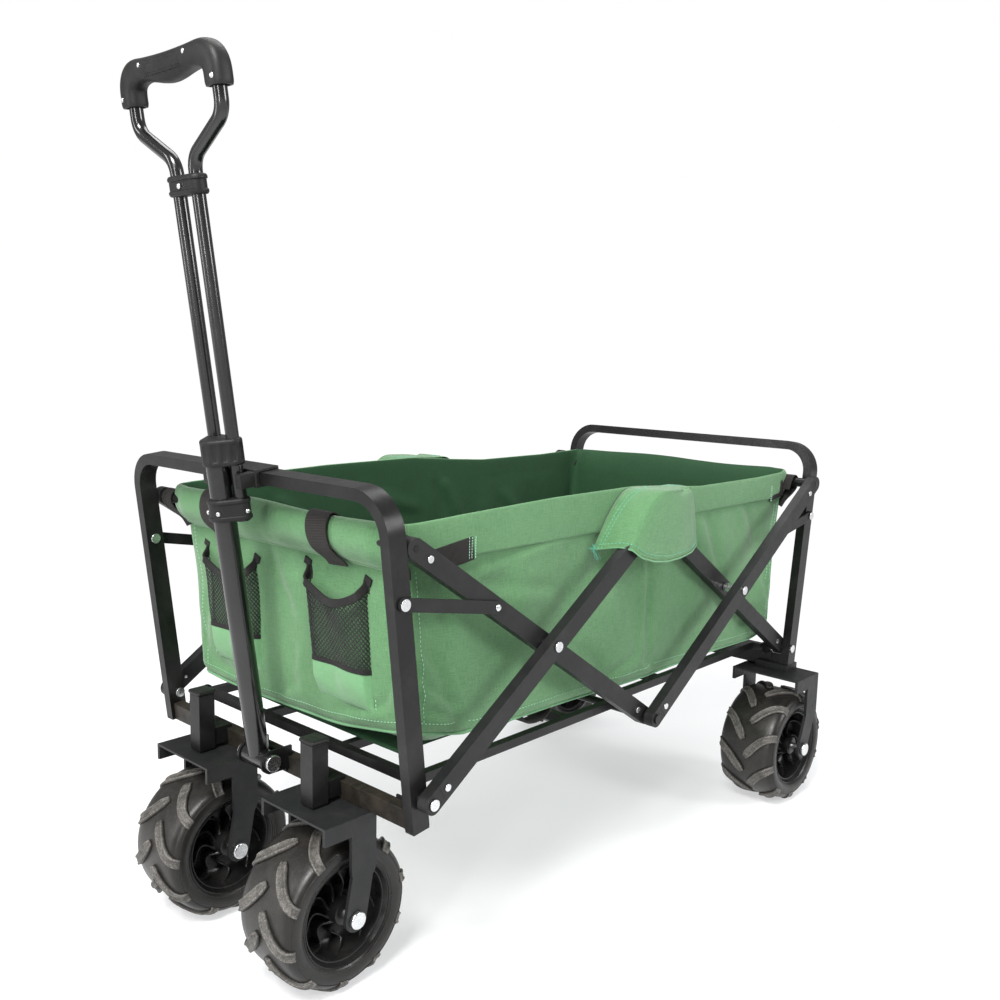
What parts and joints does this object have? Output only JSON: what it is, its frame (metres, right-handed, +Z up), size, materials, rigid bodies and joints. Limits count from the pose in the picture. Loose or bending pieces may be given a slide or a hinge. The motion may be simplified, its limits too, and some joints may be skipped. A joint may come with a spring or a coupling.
{
  "type": "folding camp wagon",
  "caption": "Four-wheeled folding wagon: fabric tub between steel end frames and scissor sides, swivel front wheels, telescopic pull handle with a D-shaped grip.",
  "frame": {"origin": "on the ground under the middle of the folding mechanism, halfway between the two end frames", "axes": "+Z up, X along the wagon with the pull handle at -X, Y across"},
  "size_m": [1.1398, 0.636, 1.1029],
  "materials": {
    "black_frame": "satin black powder coat",
    "handle_gloss": "gloss black coat",
    "black_plastic": "moulded, matte",
    "rim_plastic": "moulded, low gloss",
    "zinc": "zinc plated",
    "tyre_rubber": "scuffed",
    "dusty_steel": "satin, dusty",
    "green_fabric": "woven polyester",
    "mesh_green": "black mesh with green cuff"
  },
  "bodies": {
    "front_frame": {"front_hoop": "black_frame", "front_crossbar": "black_frame", "front_feet": "black_plastic", "caster_posts": "black_plastic", "caster_post_caps": "black_plastic", "handle_bracket": "black_frame", "handle_hinge_bolt": "zinc", "handle_rest_clip": "black_plastic", "front_pivot_pins": "zinc", "front_link_pins": "zinc", "floor_lugs_front": "black_frame"},
    "outer_front": {"outer_front_bars": "black_frame", "outer_front_bar_inserts": "black_plastic", "outer_front_rivets": "zinc"},
    "inner_front": {"inner_front_bars": "black_frame", "inner_front_bar_inserts": "black_plastic", "inner_front_rivets": "zinc", "centre_axle": "black_frame", "front_hem_tube": "black_frame"},
    "inner_rear": {"inner_rear_bars": "black_frame", "inner_rear_bar_inserts": "black_plastic", "inner_rear_rivets": "zinc"},
    "outer_rear": {"outer_rear_bars": "black_frame", "outer_rear_bar_inserts": "black_plastic", "outer_rear_rivets": "zinc", "rear_hem_tube": "black_frame"},
    "rear_frame": {"rear_hoop": "black_frame", "rear_crossbar": "black_frame", "rear_feet": "black_plastic", "rear_forks": "dusty_steel", "rear_axle_bolts": "zinc", "rear_pivot_pins": "zinc", "rear_link_pins": "zinc", "floor_lugs_rear": "black_frame"},
    "front_link_pair": {"front_links": "black_frame"},
    "rear_link_pair": {"rear_links": "black_frame"},
    "floor_front": {"floor_frame_front": "black_frame"},
    "floor_rear": {"floor_frame_rear": "black_frame"},
    "caster_left": {"caster_fork_left": "dusty_steel", "caster_bolt_left": "zinc"},
    "caster_right": {"caster_fork_right": "dusty_steel", "caster_bolt_right": "zinc"},
    "wheel_front_left": {"front_tyre_left": "tyre_rubber", "front_rim_left": "rim_plastic"},
    "wheel_front_right": {"front_tyre_right": "tyre_rubber", "front_rim_right": "rim_plastic"},
    "wheel_rear_left": {"rear_tyre_left": "tyre_rubber", "rear_rim_left": "rim_plastic"},
    "wheel_rear_right": {"rear_tyre_right": "tyre_rubber", "rear_rim_right": "rim_plastic"},
    "handle_lower": {"handle_main_tube": "handle_gloss", "handle_upper_collar": "black_plastic"},
    "handle_slider": {"handle_lower_collar": "black_plastic", "handle_rods": "handle_gloss", "handle_yoke": "black_plastic", "handle_grip": "black_plastic", "grip_screws": "zinc"},
    "bag_body": {"bag": "green_fabric", "cup_pockets": "mesh_green"}
  },
  "joints": [
    {"name": "fold", "type": "hinge", "parent": "front_frame", "child": "outer_front", "pos_m": [-0.44728, 0, 0.269], "axis": [0, -1, 0], "range_deg": [0, 43], "deforming": ["bag", "cup_pockets"]},
    {"name": "front_crossing", "type": "hinge", "parent": "outer_front", "child": "inner_front", "pos_m": [-0.23239, 0, 0.41178], "axis": [0, -1, 0], "range_deg": [-86.5, 0.5]},
    {"name": "top_centre", "type": "hinge", "parent": "outer_front", "child": "inner_rear", "pos_m": [0, 0, 0.56617], "axis": [0, -1, 0], "range_deg": [-86.5, 0.5]},
    {"name": "bottom_centre", "type": "hinge", "parent": "inner_front", "child": "outer_rear", "pos_m": [0, 0, 0.25738], "axis": [0, -1, 0], "range_deg": [-0.5, 86.5]},
    {"name": "rear_pivot", "type": "hinge", "parent": "inner_rear", "child": "rear_frame", "pos_m": [0.44728, 0, 0.269], "axis": [0, -1, 0], "range_deg": [-0.5, 43.5]},
    {"name": "front_link_pivot", "type": "hinge", "parent": "front_frame", "child": "front_link_pair", "pos_m": [-0.4806, 0, 0.5045], "axis": [0, -1, 0], "range_deg": [-0.5, 76]},
    {"name": "rear_link_pivot", "type": "hinge", "parent": "rear_frame", "child": "rear_link_pair", "pos_m": [0.4806, 0, 0.5045], "axis": [0, -1, 0], "range_deg": [-76, 0.5]},
    {"name": "floor_front_hinge", "type": "hinge", "parent": "front_frame", "child": "floor_front", "pos_m": [-0.416, 0, 0.27], "axis": [0, -1, 0], "range_deg": [-0.5, 77]},
    {"name": "floor_rear_hinge", "type": "hinge", "parent": "rear_frame", "child": "floor_rear", "pos_m": [0.416, 0, 0.27], "axis": [0, -1, 0], "range_deg": [-77, 0.5]},
    {"name": "fabric_rise", "type": "slide", "parent": "front_frame", "child": "bag_body", "axis": [0, 0, 1], "range_m": [-0.002, 0.24]},
    {"name": "handle_tilt", "type": "hinge", "parent": "front_frame", "child": "handle_lower", "pos_m": [-0.484, 0, 0.253], "axis": [0, -1, 0], "range_deg": [0, 95]},
    {"name": "handle_slide", "type": "slide", "parent": "handle_lower", "child": "handle_slider", "axis": [-0.1412, 0, 0.99], "range_m": [-0.27, 0]},
    {"name": "caster_swivel_left", "type": "hinge", "parent": "front_frame", "child": "caster_left", "pos_m": [-0.49, 0.124, 0.25], "axis": [0, 0, 1], "continuous": true},
    {"name": "caster_swivel_right", "type": "hinge", "parent": "front_frame", "child": "caster_right", "pos_m": [-0.49, -0.124, 0.25], "axis": [0, 0, 1], "continuous": true},
    {"name": "spin_front_left", "type": "hinge", "parent": "caster_left", "child": "wheel_front_left", "pos_m": [-0.476, 0.124, 0.1], "axis": [0, -1, 0], "continuous": true},
    {"name": "spin_front_right", "type": "hinge", "parent": "caster_right", "child": "wheel_front_right", "pos_m": [-0.476, -0.124, 0.1], "axis": [0, -1, 0], "continuous": true},
    {"name": "spin_rear_left", "type": "hinge", "parent": "rear_frame", "child": "wheel_rear_left", "pos_m": [0.43, 0.248, 0.1], "axis": [0, -1, 0], "continuous": true},
    {"name": "spin_rear_right", "type": "hinge", "parent": "rear_frame", "child": "wheel_rear_right", "pos_m": [0.43, -0.248, 0.1], "axis": [0, -1, 0], "continuous": true}
  ],
  "couplings": [
    {"joint": "front_crossing", "follows": "fold", "ratio": -2},
    {"joint": "top_centre", "follows": "fold", "ratio": -2},
    {"joint": "bottom_centre", "follows": "fold", "ratio": 2},
    {"joint": "rear_pivot", "follows": "fold", "ratio": 1},
    {"joint": "front_link_pivot", "follows": "fold", "ratio": 1.744},
    {"joint": "rear_link_pivot", "follows": "fold", "ratio": -1.744},
    {"joint": "floor_front_hinge", "follows": "fold", "ratio": 1.767},
    {"joint": "floor_rear_hinge", "follows": "fold", "ratio": -1.767},
    {"joint": "fabric_rise", "follows": "fold", "m_per_rad": 0.3}
  ]
}
